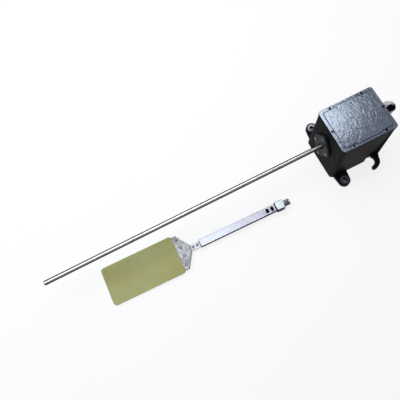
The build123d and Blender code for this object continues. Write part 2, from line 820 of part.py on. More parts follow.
def make_switch(x_start):
    """A snap switch with its terminals on top and the lug for its lever below."""
    x_middle = x_start + switch_width / 2
    y_middle = (switch_start_y + switch_end_y) / 2
    body = Pos(x_middle, y_middle, switch_bottom + switch_height / 2) * Box(switch_width, switch_length, switch_height)
    body = chamfer(body.edges().filter_by(Axis.X), 1.2)
    for y, z in switch_screw_places():
        body -= bar(switch_screw_diameter / 2 + press, x_start - 1, x_start + switch_width + 1, y, z)
    cheek = (switch_width - lever_width) / 2 - loose
    for x in (x_start + cheek / 2, x_start + switch_width - cheek / 2):
        lug_height = switch_bottom + 2 - (hinge_z - lever_barrel)
        lug = Pos(x, hinge_y, hinge_z - lever_barrel + lug_height / 2) * Box(cheek, 4.6, lug_height)
        body += lug
    body += bar(lever_barrel / 4, x_start, x_start + switch_width, hinge_y, hinge_z)
    body += post(1.2, x_middle, hinge_y - plunger_reach, hinge_z + 2.6, switch_bottom + 1)
    for i in range(3):
        y = switch_start_y + 5 + i * (switch_length - 10) / 2
        tag = Pos(x_middle, y, switch_bottom + switch_height + 3) * Box(0.8, 4.8, 8)
        body += tag
    return body


def make_lever(x_start):
    """The balanced rocker under a switch: a strip on a barrel, with as much of it behind the pin as before it."""
    x_middle = x_start + switch_width / 2
    blade = Pos(x_middle, hinge_y, hinge_z) * Box(lever_width, 2 * lever_half_length, lever_thickness)
    half = lever_width / 2
    barrel = bar(lever_barrel / 2, x_middle - half, x_middle + half, hinge_y, hinge_z)
    lever = blade + barrel
    return lever - bar(lever_barrel / 4 + running, x_middle - half - 1, x_middle + half + 1, hinge_y, hinge_z)


def make_switch_screws():
    screws = []
    start = bracket_front - bracket_thickness - 1.5
    end = second_switch_x + switch_width
    for y, z in switch_screw_places():
        screw = bar(switch_screw_diameter / 2, start, end + 0.1, y, z)
        screws.append(screw + bar(switch_screw_diameter * 0.9, end, end + 2.0, y, z))
    return group(screws)


def make_switch_spacer():
    """The washers between the two switches."""
    washers = []
    for y, z in switch_screw_places():
        washers.append(ring(switch_screw_diameter, switch_screw_diameter / 2 + press,
                            first_switch_x + switch_width, second_switch_x, y, z))
    return group(washers)


def make_terminal_stand():
    """A bent bridge on the mounting plate that lifts the terminals up to hand height."""
    length = terminal_ways * terminal_pitch + 9
    centre = Pos(stand_x, stand_y, 0)
    deck = centre * Pos(0, 0, tray_top + stand_height - stand_thickness / 2)
    stand = deck * Box(length, terminal_depth, stand_thickness)
    for side in (-1, 1):
        leg_x = side * (length / 2 - stand_thickness / 2)
        stand += centre * Pos(leg_x, 0, tray_top + stand_height / 2) * Box(stand_thickness, terminal_depth,
                                                                            stand_height)
        foot_x = side * (length / 2 - stand_foot / 2)
        stand += centre * Pos(foot_x, 0, tray_top + stand_thickness / 2) * Box(stand_foot, terminal_depth,
                                                                               stand_thickness)
    return stand


def make_terminal_block():
    """A row of clamp terminals with a raised wall between each two ways."""
    length = terminal_ways * terminal_pitch + 2
    base = tray_top + stand_height
    block = Pos(stand_x, stand_y, base + terminal_height * 0.3) * Box(length, terminal_depth, terminal_height * 0.6)
    ridge = Pos(stand_x, stand_y, base + terminal_height / 2) * Box(length, terminal_depth * 0.24, terminal_height)
    block += ridge
    for i in range(terminal_ways + 1):
        x = stand_x - terminal_ways * terminal_pitch / 2 + i * terminal_pitch
        block += Pos(x, stand_y, base + terminal_height / 2) * Box(terminal_wall, terminal_depth, terminal_height)
    for x, y in terminal_screw_places():
        block -= post(terminal_screw_diameter / 2 + press, x, y, base + 3, base + terminal_height + 1)
    return block


def terminal_screw_places():
    first = stand_x - (terminal_ways - 1) * terminal_pitch / 2
    side = terminal_depth * 0.33
    return [(first + i * terminal_pitch, stand_y + s * side) for i in range(terminal_ways) for s in (-1, 1)]


def make_terminal_screws():
    base = tray_top + stand_height + terminal_height * 0.6
    screws = []
    for x, y in terminal_screw_places():
        screw = post(terminal_screw_diameter / 2, x, y, base - 5, base)
        screw += post(terminal_screw_diameter * 0.8, x, y, base, base + 2)
        screws.append(screw - Pos(x, y, base + 2) * Box(0.9, terminal_screw_diameter * 2, 1.4))
    return group(screws)


def make_earth_stud():
    """The earth stud on the mounting plate with its washer and nut."""
    stud = post(earth_diameter / 2, earth_x, earth_y, tray_top, tray_top + 16)
    stud += post(earth_diameter, earth_x, earth_y, tray_top, tray_top + 1.2)
    hexagon = RegularPolygon(earth_diameter * 0.83, 6, major_radius=False)
    return stud + Pos(earth_x, earth_y, tray_top + 1.2) * extrude(hexagon, amount=5)


def gland_places():
    face = -front_x - gland_boss_height - gland_washer_thickness
    hex_end = face - gland_hex_length
    nut_start_x = hex_end - 1.0
    nut_end_x = nut_start_x - gland_nut_length
    return face, hex_end, nut_start_x, nut_end_x


def make_gland_washer():
    face = gland_places()[0]
    return ring(gland_hex / 2, gland_thread / 2 + running, face, face + gland_washer_thickness, gland_y, gland_z)


def make_gland_body():
    """The threaded body: hexagon, thread into the wall and the collar under the nut."""
    face, hex_end, nut_start_x, nut_end_x = gland_places()
    inner_end = -front_x + wall
    body = hexagon_bar(gland_hex, hex_end, face, gland_y, gland_z)
    body += bar(gland_thread / 2, face - 1, inner_end, gland_y, gland_z)
    collar = gland_bore / 2 + 2.0
    body += bar(collar, hex_end - gland_collar_length, hex_end + 1, gland_y, gland_z)
    return body - bar(gland_bore / 2, hex_end - gland_collar_length - 1, inner_end + 1, gland_y, gland_z)


def make_gland_nut():
    """The hexagonal nut with its rounded dome, bored for the cable."""
    face, hex_end, nut_start_x, nut_end_x = gland_places()
    nut = hexagon_bar(gland_nut_hex, nut_end_x, nut_start_x, gland_y, gland_z)
    dome_end = nut_end_x - gland_dome_length
    dome = bar(gland_nut_hex / 2 - 0.5, dome_end, nut_end_x + 1, gland_y, gland_z)
    nut += fillet(dome.edges().sort_by(Axis.X)[0], gland_dome_length * 0.7)
    thread = gland_bore / 2 + 2.0 + running
    nut -= bar(thread, hex_end - gland_collar_length - loose, nut_start_x + 1, gland_y, gland_z)
    cone_end = nut_end_x - gland_dome_length * 0.35
    nut -= bar(gland_bore / 2 + running, cone_end, nut_start_x, gland_y, gland_z)
    return nut - bar(seal_bore / 2 + 1.5, dome_end - 1, nut_start_x, gland_y, gland_z)


def make_gland_seal():
    """The rubber ring that is squeezed on the cable by the nut."""
    face, hex_end, nut_start_x, nut_end_x = gland_places()
    start = nut_end_x - gland_dome_length * 0.35 + running
    return ring(gland_bore / 2 - running, seal_bore / 2, start, hex_end - 2.0, gland_y, gland_z)


def on_paddle(shape):
    """Puts a piece of the loose paddle where it lies: on its nut and on the far edge of its sheet."""
    tilt = radians(paddle_tilt)
    under_nut = nut_end * sin(tilt) + nut_size / 2 * cos(tilt)
    under_sheet = sheet_end * sin(tilt) + sheet_thickness / 2 * cos(tilt)
    place = Pos(paddle_x, paddle_y, max(under_nut, under_sheet)) * Rot(0, 0, paddle_yaw)
    return place * Rot(0, paddle_tilt, 0) * shape


def fan_outline(neck_from):
    """Neck, taper and full-width edge of the fan, seen from above."""
    neck = neck_width / 2
    half = fan_width / 2
    outline = Polygon((neck_from, -neck), (fan_start, -neck), (fan_edge, -half), (fan_end, -half),
                      (fan_end, half), (fan_edge, half), (fan_start, neck), (neck_from, neck), align=None)
    outline = fillet([corner(outline, fan_start, -neck), corner(outline, fan_start, neck)], 3.0)
    return fillet([corner(outline, fan_edge, -half), corner(outline, fan_edge, half)], 2.0)


def rivet_places():
    middle = fan_end - fan_edge_length - 2.0
    outer = fan_end - 7.0
    spots = [(outer if abs(y) > 20 else middle, y) for y in rivet_rows]
    return spots


def neck_rivet_places():
    return [(arm_tube_length + neck_rivet_first + i * neck_rivet_pitch, 0) for i in range(2)]


def make_clamp_plate():
    """A fan-shaped plate, joggled at the neck so that the pair closes there."""
    level = sheet_thickness / 2
    start = arm_tube_length - neck_tongue
    joggle_start = fan_start - 1.0
    joggle_end = joggle_start + 6.0
    top = level + fan_thickness
    profile = Polygon((start, seat), (joggle_start, seat), (joggle_end, level), (fan_end, level), (fan_end, top),
                      (joggle_end, top), (joggle_start, fan_thickness + seat), (start, fan_thickness + seat),
                      align=None)
    strip = extrude(Plane.XZ * profile, amount=fan_width, both=True)
    plan = extrude(fan_outline(start), amount=top + 1)
    plate = strip & plan
    for x, y in rivet_places() + neck_rivet_places():
        plate -= post(rivet_diameter / 2 + press, x, y, -1, top + 1)
    return plate


def make_sheet():
    """The paddle sheet with rounded corners, its end cut to the fan and held between the plates."""
    half = sheet_width / 2
    outline = Rectangle(sheet_length, sheet_width)
    outline = Pos((fan_end + sheet_end) / 2, 0) * fillet(outline.vertices(), sheet_corner)
    inset = 1.5
    root = joggle_clearance()
    slant = (fan_width - neck_width) / 2 / fan_taper_length
    root_half = neck_width / 2 + slant * (root - fan_start) - inset
    tongue = Polygon((root, -root_half), (fan_edge, -fan_width / 2 + inset), (fan_end + 12, -fan_width / 2 + inset),
                     (fan_end + 12, fan_width / 2 - inset), (fan_edge, fan_width / 2 - inset), (root, root_half),
                     align=None)
    sheet = extrude(outline + tongue, amount=sheet_thickness / 2 - seat, both=True)
    for x, y in rivet_places():
        sheet -= post(rivet_diameter / 2 + press, x, y, -sheet_thickness, sheet_thickness)
    return sheet


def joggle_clearance():
    return fan_start - 1.0 + 6.0 + 1.0


def make_rivets():
    rivets = []
    grips = [(x, y, sheet_thickness / 2 + fan_thickness) for x, y in rivet_places()]
    grips += [(x, y, fan_thickness + seat) for x, y in neck_rivet_places()]
    for x, y, grip in grips:
        rivet = post(rivet_diameter / 2, x, y, -grip - 0.1, grip + 0.1)
        for side in (-1, 1):
            dome = Cylinder(rivet_head / 2, rivet_head_height)
            edge = dome.edges().filter_by(GeomType.CIRCLE).sort_by(Axis.Z)[-1]
            dome = fillet(edge, rivet_head_height * 0.8)
            dome = dome if side > 0 else Rot(180, 0, 0) * dome
            rivet += Pos(x, y, side * (grip + rivet_head_height / 2 + seat)) * dome
        rivets.append(rivet)
    return group(rivets)


def arm_slot_places():
    return [arm_slot_first + i * arm_slot_pitch for i in range(2)]


def make_arm_tube():
    """The rectangular arm tube with two slots across its upper wall, near the nut."""
    outer = RectangleRounded(arm_tube_width, arm_tube_height, 1.5)
    bore = Rectangle(arm_tube_width - 2 * arm_tube_wall, arm_tube_height - 2 * arm_tube_wall)
    tube = extrude(Plane.YZ * (outer - bore), amount=arm_tube_length)
    for x in arm_slot_places():
        slot = Pos(x, 0, 0) * extrude(Rot(0, 0, 90) * SlotOverall(arm_slot_length, arm_slot_width),
                                      amount=arm_tube_height)
        tube -= slot
    for x in tongue_pin_places():
        tube -= tongue_pin(x, press)
    return tube


def tongue_pin_places():
    return [arm_slot_places()[1] + arm_slot_width, arm_tube_length - neck_tongue / 2]


def tongue_pin(x, grow=0.0):
    """A cross pin through the side walls of the arm tube."""
    shank = Cylinder(2.0 + grow, arm_tube_width - 0.4 + 2 * grow)
    return Pos(x, 0, 0) * Rot(90, 0, 0) * shank


def make_tongue_pins():
    return group([tongue_pin(x) for x in tongue_pin_places()])


def make_socket():
    """The turned socket for the shaft's end: tongue in the arm tube, thread in the nut, split end."""
    tongue_width = arm_tube_width - 2 * arm_tube_wall - 2 * press
    tongue_height = arm_tube_height - 2 * arm_tube_wall - 2 * press
    tongue_start = nut_end + loose
    tongue = Pos((tongue_start + socket_tongue) / 2, 0, 0)
    tongue = tongue * Box(socket_tongue - tongue_start, tongue_width, tongue_height)
    barrel = bar(socket_diameter / 2, socket_start, tongue_start, 0, 0)
    barrel = chamfer(barrel.edges().sort_by(Axis.X)[0], 1.2)
    socket = barrel + tongue
    socket -= bar(shaft_radius + running, socket_start - 1, nut_end - 3.0, 0, 0)
    slit = Pos(socket_start + socket_length / 2, 0, 0) * Box(socket_length + 0.1, socket_slit, socket_diameter + 2)
    socket -= slit
    for x in arm_slot_places():
        pocket = Pos(x, 0, tongue_height / 2) * Box(arm_slot_width - 1.0, arm_slot_length - 3.0, 5.0)
        socket -= pocket
    return socket - tongue_pin(tongue_pin_places()[0], press)


def make_lock_nut():
    """The square lock nut, its corners turned off at both ends."""
    square = RectangleRounded(nut_size, nut_size, 0.8)
    nut = extrude(Plane.YZ.offset(nut_start) * square, amount=nut_length)
    nut &= chamfer(bar(nut_size * 0.66, nut_start, nut_end, 0, 0).edges(), 1.6, 2.6)
    return nut - bar(socket_diameter / 2 + press, nut_start - 1, nut_end + 1, 0, 0)


def clamp_plate_lower():
    return mirror(make_clamp_plate(), about=Plane.XY)


def clamp_plate_with_tongue_hole(plate):
    return plate - tongue_pin(tongue_pin_places()[1], press)


parts = {
    "housing": (make_housing, black_paint),
    "lid": (make_lid, black_paint),
    "lid_gasket": (make_gasket, rubber),
    "lid_screws": (make_lid_screws, steel),
    "bearing_housing": (make_bearing_housing, black_paint),
    "flange_gasket": (make_flange_gasket, rubber),
    "flange_screws": (make_flange_screws, steel),
    "front_bearing": (lambda: make_bearing(bearing_middle), steel),
    "rear_bearing": (lambda: make_bearing(bearing_back), steel),
    "bearing_spacer": (make_spacer, steel),
    "shaft_seal": (make_shaft_seal, rubber),
    "bearing_cap": (make_bearing_cap, steel),
    "cap_screws": (make_cap_screws, steel),
    "swivel_circlip": (make_swivel_circlip, steel),
    "paddle_shaft": (make_paddle_shaft, steel),
    "shaft_circlips": (make_shaft_circlips, steel),
    "coupling": (make_coupling, steel),
    "coupling_screws": (make_coupling_screws, black_plastic),
    "motor_output_shaft": (make_output_shaft, steel),
    "swivel_plate": (make_swivel_plate, zinc),
    "swivel_bush": (make_swivel_bush, bronze),
    "motor_pillars": (make_pillars, steel),
    "pillar_nuts": (make_pillar_nuts, steel),
    "gearbox": (make_gearbox, zinc),
    "motor": (make_motor, grey_plastic),
    "actuator_pin": (make_actuator_pin, steel),
    "spring_pin": (make_spring_pin, steel),
    "return_spring": (make_return_spring, steel),
    "spring_anchor": (make_spring_anchor, steel),
    "stop_post": (make_stop_post, steel),
    "mounting_plate": (make_mounting_plate, zinc),
    "mounting_plate_screws": (make_tray_screws, steel),
    "switch_bracket": (make_switch_bracket, zinc),
    "bracket_screws": (make_bracket_screws, steel),
    "motor_switch": (lambda: make_switch(first_switch_x), black_plastic),
    "alarm_switch": (lambda: make_switch(second_switch_x), black_plastic),
    "motor_switch_lever": (lambda: make_lever(first_switch_x), steel),
    "alarm_switch_lever": (lambda: make_lever(second_switch_x), steel),
    "switch_screws": (make_switch_screws, steel),
    "switch_washers": (make_switch_spacer, steel),
    "terminal_stand": (make_terminal_stand, zinc),
    "terminal_block": (make_terminal_block, grey_plastic),
    "terminal_screws": (make_terminal_screws, steel),
    "earth_stud": (make_earth_stud, bronze),
    "gland_washer": (make_gland_washer, rubber),
    "gland_body": (make_gland_body, nickel),
    "gland_nut": (make_gland_nut, nickel),
    "gland_seal": (make_gland_seal, rubber),
    "paddle_sheet": (lambda: on_paddle(make_sheet()), polyurethane),
    "clamp_plate_upper": (lambda: on_paddle(clamp_plate_with_tongue_hole(make_clamp_plate())), steel),
    "clamp_plate_lower": (lambda: on_paddle(clamp_plate_with_tongue_hole(clamp_plate_lower())), steel),
    "clamp_rivets": (lambda: on_paddle(make_rivets()), steel),
    "arm_tube": (lambda: on_paddle(make_arm_tube()), steel),
    "arm_tube_pins": (lambda: on_paddle(make_tongue_pins()), steel),
    "shaft_socket": (lambda: on_paddle(make_socket()), steel),
    "lock_nut": (lambda: on_paddle(make_lock_nut()), steel),
}

os.makedirs("parts", exist_ok=True)
for name, (build, colour) in parts.items():
    save(name, build(), colour)
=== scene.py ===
import math

import bmesh
import bpy
from mathutils import Matrix, Vector


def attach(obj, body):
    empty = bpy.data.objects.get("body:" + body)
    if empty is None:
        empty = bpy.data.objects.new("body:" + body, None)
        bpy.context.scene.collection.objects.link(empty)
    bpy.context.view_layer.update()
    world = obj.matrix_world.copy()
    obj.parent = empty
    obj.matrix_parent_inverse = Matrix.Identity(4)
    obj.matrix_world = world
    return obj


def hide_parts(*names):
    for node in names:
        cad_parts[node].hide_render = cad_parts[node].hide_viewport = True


# The switch as it comes from the workshop: cast housing, long shaft, and the paddle lying loose beside it.
# All places are metres in the part's own frame, +X along the shaft and +Z up through the lid.
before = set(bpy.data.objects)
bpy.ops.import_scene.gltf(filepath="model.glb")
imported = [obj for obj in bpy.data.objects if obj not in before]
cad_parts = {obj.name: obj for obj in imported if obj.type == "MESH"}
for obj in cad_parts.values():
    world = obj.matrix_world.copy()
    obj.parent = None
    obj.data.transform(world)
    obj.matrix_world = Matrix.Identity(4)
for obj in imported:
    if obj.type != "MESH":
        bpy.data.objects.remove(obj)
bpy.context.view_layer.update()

# Centres of the bolt holes in the front ears: the same on both sides of the part's middle plane.
ear_hole_x = 0.048
ear_hole_y = 0.084


# Camera
# A hand-held view from above the shaft's middle, turned so that the housing sits at the upper right.
camera_data = bpy.data.cameras.new("photo_camera")
camera_data.sensor_width = 36.0
camera_data.lens = 42.0
camera_data.clip_end = 20.0
photo_camera = bpy.data.objects.new("photo_camera", camera_data)
bpy.context.collection.objects.link(photo_camera)
view_right = Vector((-0.89412964, 0.44127453, -0.07621662))
view_up = Vector((-0.44321701, -0.84774123, 0.29136487))
view_ahead = Vector((-0.06395993, -0.29429847, -0.95357094))
turned = Matrix((view_right, view_up, -view_ahead)).transposed().to_4x4()
photo_camera.matrix_world = Matrix.Translation((0.48545, 0.31958, 1.18342)) @ turned
bpy.context.scene.camera = photo_camera
bpy.context.scene.view_settings.view_transform = "Standard"


# Floor
# A seamless sheet of white board that the housing stands on and the paddle lies on.
# The board keeps the soft shadow under the pieces, and past it the board shows plain white.
class Wire:
    """A value on its way between two shader nodes, so that sums are written as sums."""

    def __init__(self, finish, socket):
        self.finish = finish
        self.socket = socket

    def reckon(self, operation, first, second):
        return self.finish.node("ShaderNodeMath", {"operation": operation}, {0: first, 1: second})

    def __add__(self, other):
        return self.reckon("ADD", self, other)

    def __radd__(self, other):
        return self.reckon("ADD", other, self)

    def __sub__(self, other):
        return self.reckon("SUBTRACT", self, other)

    def __rsub__(self, other):
        return self.reckon("SUBTRACT", other, self)

    def __mul__(self, other):
        return self.reckon("MULTIPLY", self, other)

    def __rmul__(self, other):
        return self.reckon("MULTIPLY", other, self)

    def __abs__(self):
        return self.reckon("ABSOLUTE", self, 0.0)

    def clamped(self):
        return self.finish.node("ShaderNodeClamp", {}, {"Value": self})


class Finish:
    """One surface finish: a material, its shader, and the one way to add a node to it."""

    def __init__(self, name, shader="ShaderNodeBsdfPrincipled"):
        self.material = bpy.data.materials.new(name)
        self.material.use_nodes = True
        self.tree = self.material.node_tree
        self.tree.nodes.clear()
        self.shader = self.tree.nodes.new(shader)
        self.end = self.tree.nodes.new("ShaderNodeOutputMaterial")
        self.tree.links.new(self.shader.outputs[0], self.end.inputs["Surface"])

    def node(self, kind, settings, sockets, out=0):
        made = self.tree.nodes.new(kind)
        for name, value in settings.items():
            if name == "stops":
                while len(made.color_ramp.elements) < len(value):
                    made.color_ramp.elements.new(0.5)
                for stop, (place, colour) in zip(made.color_ramp.elements, value):
                    stop.position = place
                    stop.color = (*colour, 1.0) if len(colour) == 3 else colour
            else:
                setattr(made, name, value)
        for name, value in sockets.items():
            if isinstance(value, Wire):
                self.tree.links.new(value.socket, made.inputs[name])
            else:
                made.inputs[name].default_value = value
        return Wire(self, made.outputs[out])

    def feed(self, **sockets):
        """Sets the shader's own sockets; an underscore stands for a space."""
        for name, value in sockets.items():
            name = name.replace("_", " ")
            if isinstance(value, Wire):
                self.tree.links.new(value.socket, self.shader.inputs[name])
            else:
                self.shader.inputs[name].default_value = value

    def place(self, turn=(0.0, 0.0, 0.0), stretch=(1.0, 1.0, 1.0)):
        """Object coordinates, turned and stretched."""
        spot = self.node("ShaderNodeTexCoord", {}, {}, out=3)
        if turn == (0.0, 0.0, 0.0) and stretch == (1.0, 1.0, 1.0):
            return spot
        return self.node("ShaderNodeMapping", {}, {"Vector": spot, "Rotation": turn, "Scale": stretch})

    def facing(self):
        """The surface's own direction, in the part's frame."""
        return self.node("ShaderNodeTexCoord", {}, {}, out=1)

    def distance(self, along, across):
        return self.node("ShaderNodeMath", {"operation": "SQRT"}, {0: along * along + across * across})

    def surface(self):
        """The shader's own result, to be mixed with another."""
        return Wire(self, self.shader.outputs[0])

    def mixed(self, share, second):
        """Ends the material in a mix of its shader and a second one."""
        mix = self.node("ShaderNodeMixShader", {}, {0: share, 1: self.surface(), 2: second})
        self.tree.links.new(mix.socket, self.end.inputs["Surface"])

    def noise(self, where, per_metre, detail=3.0, rough=0.5, distort=0.0):
        return self.node("ShaderNodeTexNoise", {}, {"Vector": where, "Scale": per_metre, "Detail": detail,
                                                    "Roughness": rough, "Distortion": distort})

    def ramp(self, value, *stops):
        """A value turned into colours or greys by stops of (place, colour or grey)."""
        colours = [(place, tone if isinstance(tone, tuple) else (tone, tone, tone)) for place, tone in stops]
        return self.node("ShaderNodeValToRGB", {"stops": colours}, {"Fac": value})

    def blend(self, share, first, second):
        """The first colour where share is 0, the second where it is 1."""
        sockets = {"Factor": share, 6: first, 7: second}
        return self.node("ShaderNodeMix", {"data_type": "RGBA"}, sockets, out=2)

    def bump(self, height, depth, strength):
        sockets = {"Height": height, "Distance": depth, "Strength": strength}
        return self.node("ShaderNodeBump", {}, sockets)

    def axis(self, where, letter):
        return self.node("ShaderNodeSeparateXYZ", {}, {"Vector": where}, out="XYZ".index(letter))


def shade(red, green, blue):
    """A colour as it is read off a screen, 0 to 255, as the linear colour that a shader takes."""
    parts = [c / 255 for c in (red, green, blue)]
    return tuple(c / 12.92 if c <= 0.04045 else ((c + 0.055) / 1.055) ** 2.4 for c in parts) + (1.0,)


def new_piece(name, mesh):
    piece = bpy.data.objects.new(name, mesh)
    bpy.context.collection.objects.link(piece)
    return piece


board_mesh = bpy.data.meshes.new("white_board")
board_shape = bmesh.new()
bmesh.ops.create_grid(board_shape, x_segments=8, y_segments=8, size=6.0)
bmesh.ops.translate(board_shape, vec=(0.4, 0.0, -0.0005), verts=board_shape.verts)
board_shape.to_mesh(board_mesh)
board_shape.free()
white_board = new_piece("white_board", board_mesh)

board_finish = Finish("white_board", "ShaderNodeBsdfDiffuse")
board_grain = board_finish.noise(board_finish.place(), 90.0, 4.0)
board_finish.feed(Color=board_finish.ramp(board_grain, (0.3, 0.9), (0.7, 0.94)))
board_mesh.materials.append(board_finish.material)

# The board is lit from below, so that past the soft shadow both the eye and the metal see it white.
# Only under the bolt holes of the front ears does it stay in full shade.
glow_share = 0.82
shaded_radius = 0.013
shade_softness = 500.0
board_glow = board_finish.node("ShaderNodeEmission", {}, {"Color": (1.0, 1.0, 1.0, 1.0), "Strength": 1.0})
seen_directly = board_finish.node("ShaderNodeLightPath", {}, {}, out=0)
seen_in_gloss = board_finish.node("ShaderNodeLightPath", {}, {}, out=3)
seen_through = board_finish.node("ShaderNodeLightPath", {}, {}, out=6)
board_place = board_finish.place()
from_hole = board_finish.distance(board_finish.axis(board_place, "X") - ear_hole_x,
                                  abs(board_finish.axis(board_place, "Y")) - ear_hole_y)
hole_shade = ((shaded_radius - from_hole) * shade_softness).clamped()
board_lit = (seen_directly + seen_in_gloss + seen_through).clamped() * (glow_share - glow_share * hole_shade)
board_finish.mixed(board_lit, board_glow)


# Room and lamps
# One wide soft box beyond the shaft, its near edge turned a little off the shaft's line, and a weak one
# nearer. The pale room is brighter on the soft box's side than behind the camera.
def soft_box(name, place, turn, width, depth, watts, colour):
    """A lit rectangle, turned by degrees about X, Y and Z."""
    data = bpy.data.lights.new(name, "AREA")
    data.shape = "RECTANGLE"
    data.size = width
    data.size_y = depth
    data.energy = watts
    data.color = colour
    lamp = bpy.data.objects.new(name, data)
    bpy.context.collection.objects.link(lamp)
    lamp.location = place
    lamp.rotation_euler = [math.radians(angle) for angle in turn]


soft_box("main_soft_box", place=(0.6, -0.66, 1.4), turn=(-16.0, 0.0, 14.0), width=2.0, depth=1.2,
         watts=26.0, colour=(0.93, 0.96, 1.0))
soft_box("near_soft_box", place=(0.9, 1.5, 1.5), turn=(42.0, 0.0, -15.0), width=0.9, depth=0.9,
         watts=5.0, colour=(1.0, 0.98, 0.95))

room = bpy.data.worlds.new("pale_room")
room.use_nodes = True
room_tree = room.node_tree
room_tree.nodes.clear()
room_way = room_tree.nodes.new("ShaderNodeTexCoord")
room_side = room_tree.nodes.new("ShaderNodeSeparateXYZ")
room_shade = room_tree.nodes.new("ShaderNodeMapRange")
room_shade.inputs["From Min"].default_value = -0.8
room_shade.inputs["From Max"].default_value = 0.8
room_shade.inputs["To Min"].default_value = 0.62
room_shade.inputs["To Max"].default_value = 0.2
room_air = room_tree.nodes.new("ShaderNodeBackground")
room_air.inputs["Color"].default_value = (0.9, 0.94, 1.0, 1.0)
room_white = room_tree.nodes.new("ShaderNodeBackground")
room_white.inputs["Color"].default_value = (1.0, 1.0, 1.0, 1.0)
room_white.inputs["Strength"].default_value = 1.0
room_path = room_tree.nodes.new("ShaderNodeLightPath")
room_mix = room_tree.nodes.new("ShaderNodeMixShader")
room_end = room_tree.nodes.new("ShaderNodeOutputWorld")
room_tree.links.new(room_way.outputs["Generated"], room_side.inputs["Vector"])
room_tree.links.new(room_side.outputs["Y"], room_shade.inputs["Value"])
room_tree.links.new(room_shade.outputs["Result"], room_air.inputs["Strength"])
room_tree.links.new(room_path.outputs["Is Camera Ray"], room_mix.inputs[0])
room_tree.links.new(room_air.outputs[0], room_mix.inputs[1])
room_tree.links.new(room_white.outputs[0], room_mix.inputs[2])
room_tree.links.new(room_mix.outputs[0], room_end.inputs["Surface"])
bpy.context.scene.world = room


# Housing casting
# Grey iron, sand cast in one piece with its four ears, brushed all over with black machine enamel.
# The castings are copies of the solids with their edges broken, as fettling leaves them.
def dress(node, finish):
    """Gives a solid of the frame its finish."""
    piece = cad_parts[node]
    if not piece.material_slots:
        piece.data.materials.append(finish.material)
    for slot in piece.material_slots:
        slot.material = finish.material


def broken_edges(node, body, finish, width):
    """Puts a copy of a solid, with its sharp edges rounded to a width, in the solid's place."""
    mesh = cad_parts[node].data.copy()
    mesh.materials.clear()
    shape = bmesh.new()
    shape.from_mesh(mesh)
    bmesh.ops.remove_doubles(shape, verts=shape.verts, dist=2e-6)
    bmesh.ops.dissolve_degenerate(shape, dist=1e-6, edges=shape.edges)
    bmesh.ops.dissolve_limit(shape, angle_limit=math.radians(0.4), verts=shape.verts, edges=shape.edges,
                             delimit={"NORMAL"})
    for face in shape.faces:
        face.smooth = True
    shape.to_mesh(mesh)
    shape.free()
    piece = new_piece(node + "_dressed", mesh)
    mesh.materials.append(finish.material)
    rounding = piece.modifiers.new("broken_edges", "BEVEL")
    rounding.width = width
    rounding.segments = 2
    rounding.limit_method = "ANGLE"
    rounding.angle_limit = math.radians(35.0)
    rounding.profile = 0.5
    flat_faces = piece.modifiers.new("flat_faces", "WEIGHTED_NORMAL")
    flat_faces.mode = "FACE_AREA"
    flat_faces.weight = 80
    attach(piece, body)
    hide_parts(node)


enamel = Finish("black_casting_enamel")
enamel_place = enamel.place()
enamel_cloud = enamel.noise(enamel_place, 28.0, 4.0)
enamel_peel = enamel.noise(enamel_place, 260.0, 3.0)
enamel_sand = enamel.noise(enamel_place, 900.0, 2.0)
enamel_across = enamel.axis(enamel_place, "Y")
# The brown cloud is faint over the -Y half and much heavier over the +Y half, so that half reads lighter.
enamel_side = (enamel_across * 16.0).clamped()
enamel_brown_cloud = (enamel.ramp(enamel_cloud, (0.42, 0.0), (0.72, 1.0)) * (0.14 + 0.8 * enamel_side)).clamped()
# The seats round the two front bolt holes are rubbed by washers and carry a painted highlight: the near one
# a dull grey, the far one a pale lilac painted highlight.
seat_radius = 0.0119
seat_height = 0.0126
far_seat_y = -0.08
from_seat = enamel.distance(enamel.axis(enamel_place, "X") - ear_hole_x, abs(enamel_across) - ear_hole_y)
on_seat = (((seat_radius - from_seat) * 900.0).clamped()
           * ((enamel.axis(enamel_place, "Z") - seat_height) * 3000.0).clamped())
seat_wear_and_highlight = on_seat * (1.6 * enamel_peel - 0.2).clamped()
seat_worn_and_highlit_colour = enamel.blend(((far_seat_y - enamel_across) * 2000.0).clamped(),
                         shade(104, 104, 112), shade(206, 198, 216))
enamel_tone = enamel.blend(enamel_brown_cloud, shade(10, 12, 16), shade(46, 41, 30))
enamel.feed(Base_Color=enamel.blend(seat_wear_and_highlight, enamel_tone, seat_worn_and_highlit_colour),
            Roughness=0.5 + 0.3 * enamel_cloud, Specular_IOR_Level=0.06,
            Normal=enamel.bump(enamel_peel + 0.4 * enamel_sand, 0.0006, 0.7))
broken_edges("housing", "housing", enamel, 0.0009)


# Front flange and its screws
# A turned iron cover, painted with the casting, held by four slotted pan-head screws with dull steel heads.
# The small steel parts inside the housing share the turned finish, but brighter.
flange_paint = Finish("flange_enamel")
flange_place = flange_paint.place()
flange_cloud = flange_paint.noise(flange_place, 45.0, 4.0)
flange_peel = flange_paint.noise(flange_place, 380.0, 3.0)
flange_tone = flange_paint.ramp(flange_cloud, (0.3, shade(15, 17, 20)), (0.7, shade(30, 32, 36)))
flange_paint.feed(Base_Color=flange_tone,
                  Roughness=0.42 + 0.25 * flange_cloud, Specular_IOR_Level=0.2,
                  Normal=flange_paint.bump(flange_peel, 0.0004, 0.6))
broken_edges("bearing_housing", "housing", flange_paint, 0.0004)


def turned_metal(name, bright, dark, rough, grain=1500.0, worn=40.0):
    """Machined metal: fine tool marks, a few duller clouds."""
    metal = Finish(name)
    where = metal.place()
    cloud = metal.noise(where, worn, 4.0)
    marks = metal.noise(where, grain, 2.0)
    metal.feed(Base_Color=metal.ramp(cloud, (0.32, dark), (0.68, bright)), Metallic=1.0,
               Roughness=rough + 0.22 * cloud * marks,
               Normal=metal.bump(marks, 0.00006, 0.5))
    return metal


